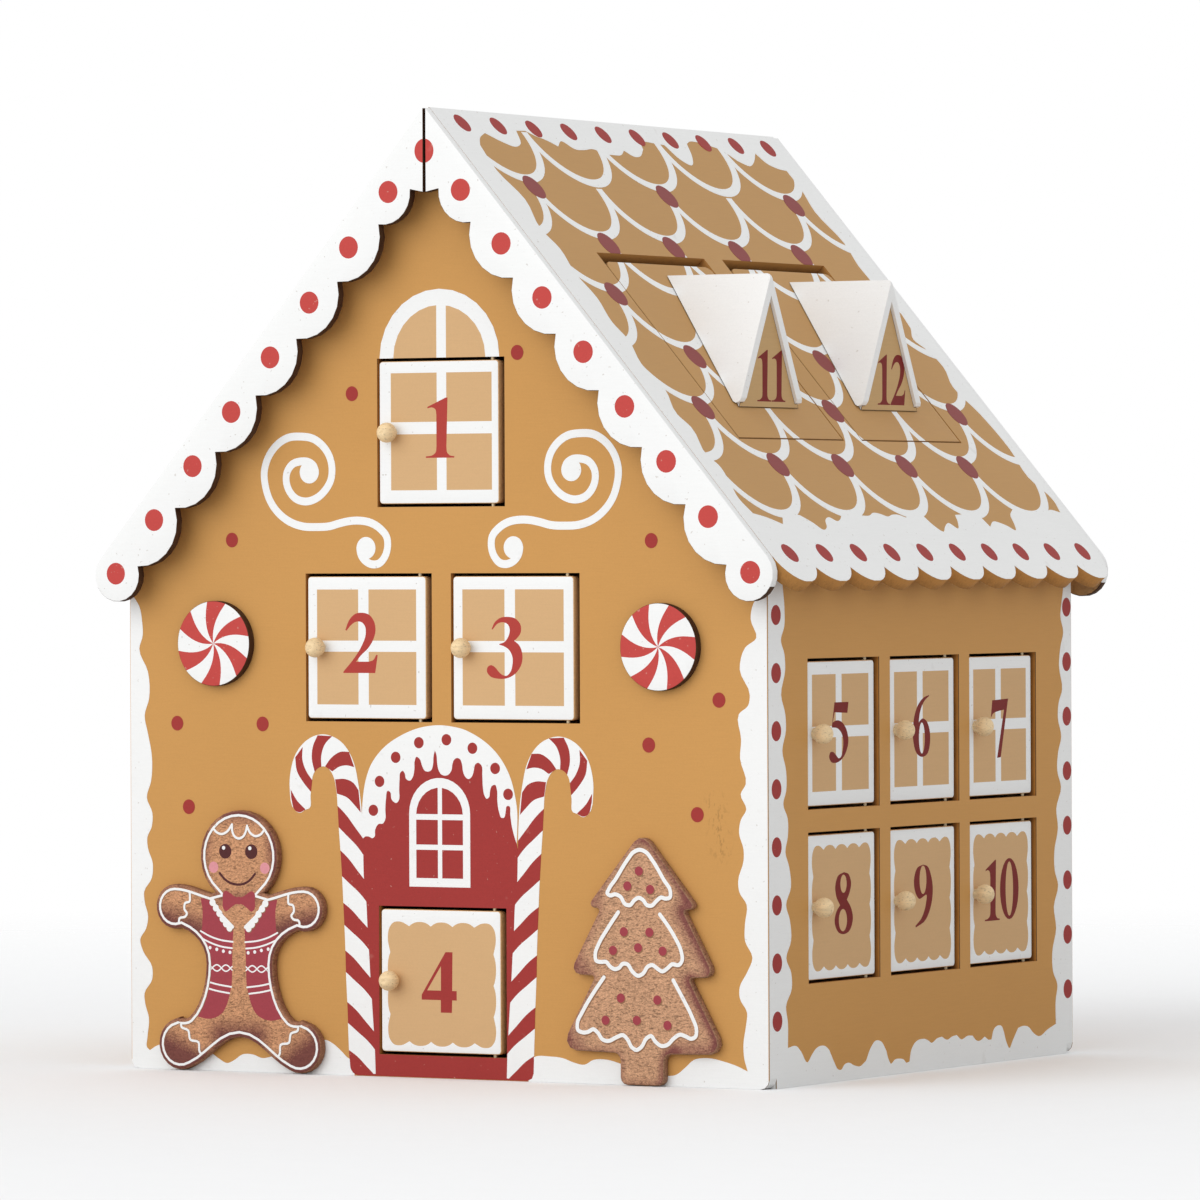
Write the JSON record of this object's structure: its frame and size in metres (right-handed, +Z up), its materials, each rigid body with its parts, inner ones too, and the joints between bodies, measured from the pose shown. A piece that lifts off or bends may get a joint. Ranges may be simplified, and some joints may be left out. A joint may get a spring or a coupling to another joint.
{
  "type": "advent calendar",
  "caption": "Wooden gingerbread-house advent calendar with pivoting numbered doors in its walls and roof hatches under dormers, each before its own compartment.",
  "frame": {"origin": "on the ground at the middle of the footprint's bounding box, which the roof's overhangs set", "axes": "+Z up, -Y out of the front gable wall, +X to the right as seen from the front"},
  "size_m": [0.3308, 0.292, 0.3904],
  "materials": {
    "tan_paint": "satin paint on board",
    "roof_paint": "satin paint on board",
    "white_paint": "satin paint on board",
    "sweet_print": "print on board",
    "cookie_print": "print on board",
    "bare_board": "raw board"
  },
  "bodies": {
    "house": {"base_board": "bare_board", "front_wall": "tan_paint", "back_wall": "tan_paint", "left_wall": "tan_paint", "right_wall": "tan_paint", "roof_board_right": "roof_paint", "roof_board_left": "roof_paint", "gable_board_front_right": "white_paint", "gable_board_front_left": "white_paint", "gable_board_back_right": "white_paint", "gable_board_back_left": "white_paint", "gingerbread_man": "cookie_print", "tree_cookie": "cookie_print", "peppermint_left": "sweet_print", "peppermint_right": "sweet_print", "long_wall_right": "bare_board", "long_wall_left": "bare_board", "lower_floor_right": "bare_board", "lower_floor_left": "bare_board", "side_shelf_right": "bare_board", "side_shelf_left": "bare_board", "divider_right_front": "bare_board", "divider_right_back": "bare_board", "divider_left_front": "bare_board", "divider_left_back": "bare_board", "cross_wall": "bare_board", "middle_shelf": "bare_board", "middle_divider": "bare_board", "attic_floor": "bare_board", "attic_wall_right": "bare_board", "attic_wall_left": "bare_board", "attic_cross_wall": "bare_board"},
    "door_01": {"door_01": "white_paint"},
    "door_02": {"door_02": "white_paint"},
    "door_03": {"door_03": "white_paint"},
    "door_04": {"door_04": "white_paint"},
    "door_05": {"door_05": "white_paint"},
    "door_06": {"door_06": "white_paint"},
    "door_07": {"door_07": "white_paint"},
    "door_08": {"door_08": "white_paint"},
    "door_09": {"door_09": "white_paint"},
    "door_10": {"door_10": "white_paint"},
    "door_13": {"door_13": "white_paint"},
    "door_14": {"door_14": "white_paint"},
    "door_15": {"door_15": "white_paint"},
    "door_16": {"door_16": "white_paint"},
    "door_17": {"door_17": "white_paint"},
    "door_18": {"door_18": "white_paint"},
    "door_19": {"door_19": "white_paint"},
    "door_20": {"door_20": "white_paint"},
    "door_21": {"door_21": "white_paint"},
    "door_22": {"door_22": "white_paint"},
    "hatch_11": {"hatch_lid_11": "roof_paint", "dormer_11": "white_paint"},
    "hatch_12": {"hatch_lid_12": "roof_paint", "dormer_12": "white_paint"},
    "hatch_23": {"hatch_lid_23": "roof_paint", "dormer_23": "white_paint"},
    "hatch_24": {"hatch_lid_24": "roof_paint", "dormer_24": "white_paint"}
  },
  "joints": [
    {"name": "door_01_pivot", "type": "hinge", "parent": "house", "child": "door_01", "pos_m": [0.02325, -0.1315, 0.26], "axis": [0, 0, 1], "range_deg": [0, 110]},
    {"name": "door_02_pivot", "type": "hinge", "parent": "house", "child": "door_02", "pos_m": [-0.01125, -0.1315, 0.17325], "axis": [0, 0, 1], "range_deg": [0, 110]},
    {"name": "door_03_pivot", "type": "hinge", "parent": "house", "child": "door_03", "pos_m": [0.05775, -0.1315, 0.17325], "axis": [0, 0, 1], "range_deg": [0, 110]},
    {"name": "door_04_pivot", "type": "hinge", "parent": "house", "child": "door_04", "pos_m": [0.02325, -0.1315, 0.039], "axis": [0, 0, 1], "range_deg": [0, 110]},
    {"name": "door_05_pivot", "type": "hinge", "parent": "house", "child": "door_05", "pos_m": [0.1465, -0.04825, 0.139], "axis": [0, 0, 1], "range_deg": [0, 110]},
    {"name": "door_06_pivot", "type": "hinge", "parent": "house", "child": "door_06", "pos_m": [0.1465, 0.02075, 0.139], "axis": [0, 0, 1], "range_deg": [0, 110]},
    {"name": "door_07_pivot", "type": "hinge", "parent": "house", "child": "door_07", "pos_m": [0.1465, 0.08975, 0.139], "axis": [0, 0, 1], "range_deg": [0, 110]},
    {"name": "door_08_pivot", "type": "hinge", "parent": "house", "child": "door_08", "pos_m": [0.1465, -0.04825, 0.07], "axis": [0, 0, 1], "range_deg": [0, 110]},
    {"name": "door_09_pivot", "type": "hinge", "parent": "house", "child": "door_09", "pos_m": [0.1465, 0.02075, 0.07], "axis": [0, 0, 1], "range_deg": [0, 110]},
    {"name": "door_10_pivot", "type": "hinge", "parent": "house", "child": "door_10", "pos_m": [0.1465, 0.08975, 0.07], "axis": [0, 0, 1], "range_deg": [0, 110]},
    {"name": "hatch_11_pivot", "type": "hinge", "parent": "house", "child": "hatch_11", "pos_m": [0.05453, -0.0515, 0.32299], "axis": [0, -1, 0], "range_deg": [0, 100]},
    {"name": "hatch_12_pivot", "type": "hinge", "parent": "house", "child": "hatch_12", "pos_m": [0.05453, 0.0515, 0.32299], "axis": [0, -1, 0], "range_deg": [0, 100]},
    {"name": "door_13_pivot", "type": "hinge", "parent": "house", "child": "door_13", "pos_m": [-0.02325, 0.1265, 0.26], "axis": [0, 0, 1], "range_deg": [0, 110]},
    {"name": "door_14_pivot", "type": "hinge", "parent": "house", "child": "door_14", "pos_m": [0.01125, 0.1265, 0.17325], "axis": [0, 0, 1], "range_deg": [0, 110]},
    {"name": "door_15_pivot", "type": "hinge", "parent": "house", "child": "door_15", "pos_m": [-0.05775, 0.1265, 0.17325], "axis": [0, 0, 1], "range_deg": [0, 110]},
    {"name": "door_16_pivot", "type": "hinge", "parent": "house", "child": "door_16", "pos_m": [-0.02325, 0.1265, 0.039], "axis": [0, 0, 1], "range_deg": [0, 110]},
    {"name": "door_17_pivot", "type": "hinge", "parent": "house", "child": "door_17", "pos_m": [-0.1465, 0.04325, 0.139], "axis": [0, 0, 1], "range_deg": [0, 110]},
    {"name": "door_18_pivot", "type": "hinge", "parent": "house", "child": "door_18", "pos_m": [-0.1465, -0.02575, 0.139], "axis": [0, 0, 1], "range_deg": [0, 110]},
    {"name": "door_19_pivot", "type": "hinge", "parent": "house", "child": "door_19", "pos_m": [-0.1465, -0.09475, 0.139], "axis": [0, 0, 1], "range_deg": [0, 110]},
    {"name": "door_20_pivot", "type": "hinge", "parent": "house", "child": "door_20", "pos_m": [-0.1465, 0.04325, 0.07], "axis": [0, 0, 1], "range_deg": [0, 110]},
    {"name": "door_21_pivot", "type": "hinge", "parent": "house", "child": "door_21", "pos_m": [-0.1465, -0.02575, 0.07], "axis": [0, 0, 1], "range_deg": [0, 110]},
    {"name": "door_22_pivot", "type": "hinge", "parent": "house", "child": "door_22", "pos_m": [-0.1465, -0.09475, 0.07], "axis": [0, 0, 1], "range_deg": [0, 110]},
    {"name": "hatch_23_pivot", "type": "hinge", "parent": "house", "child": "hatch_23", "pos_m": [-0.05453, 0.0515, 0.32299], "axis": [0, 1, 0], "range_deg": [0, 100]},
    {"name": "hatch_24_pivot", "type": "hinge", "parent": "house", "child": "hatch_24", "pos_m": [-0.05453, -0.0515, 0.32299], "axis": [0, 1, 0], "range_deg": [0, 100]}
  ]
}
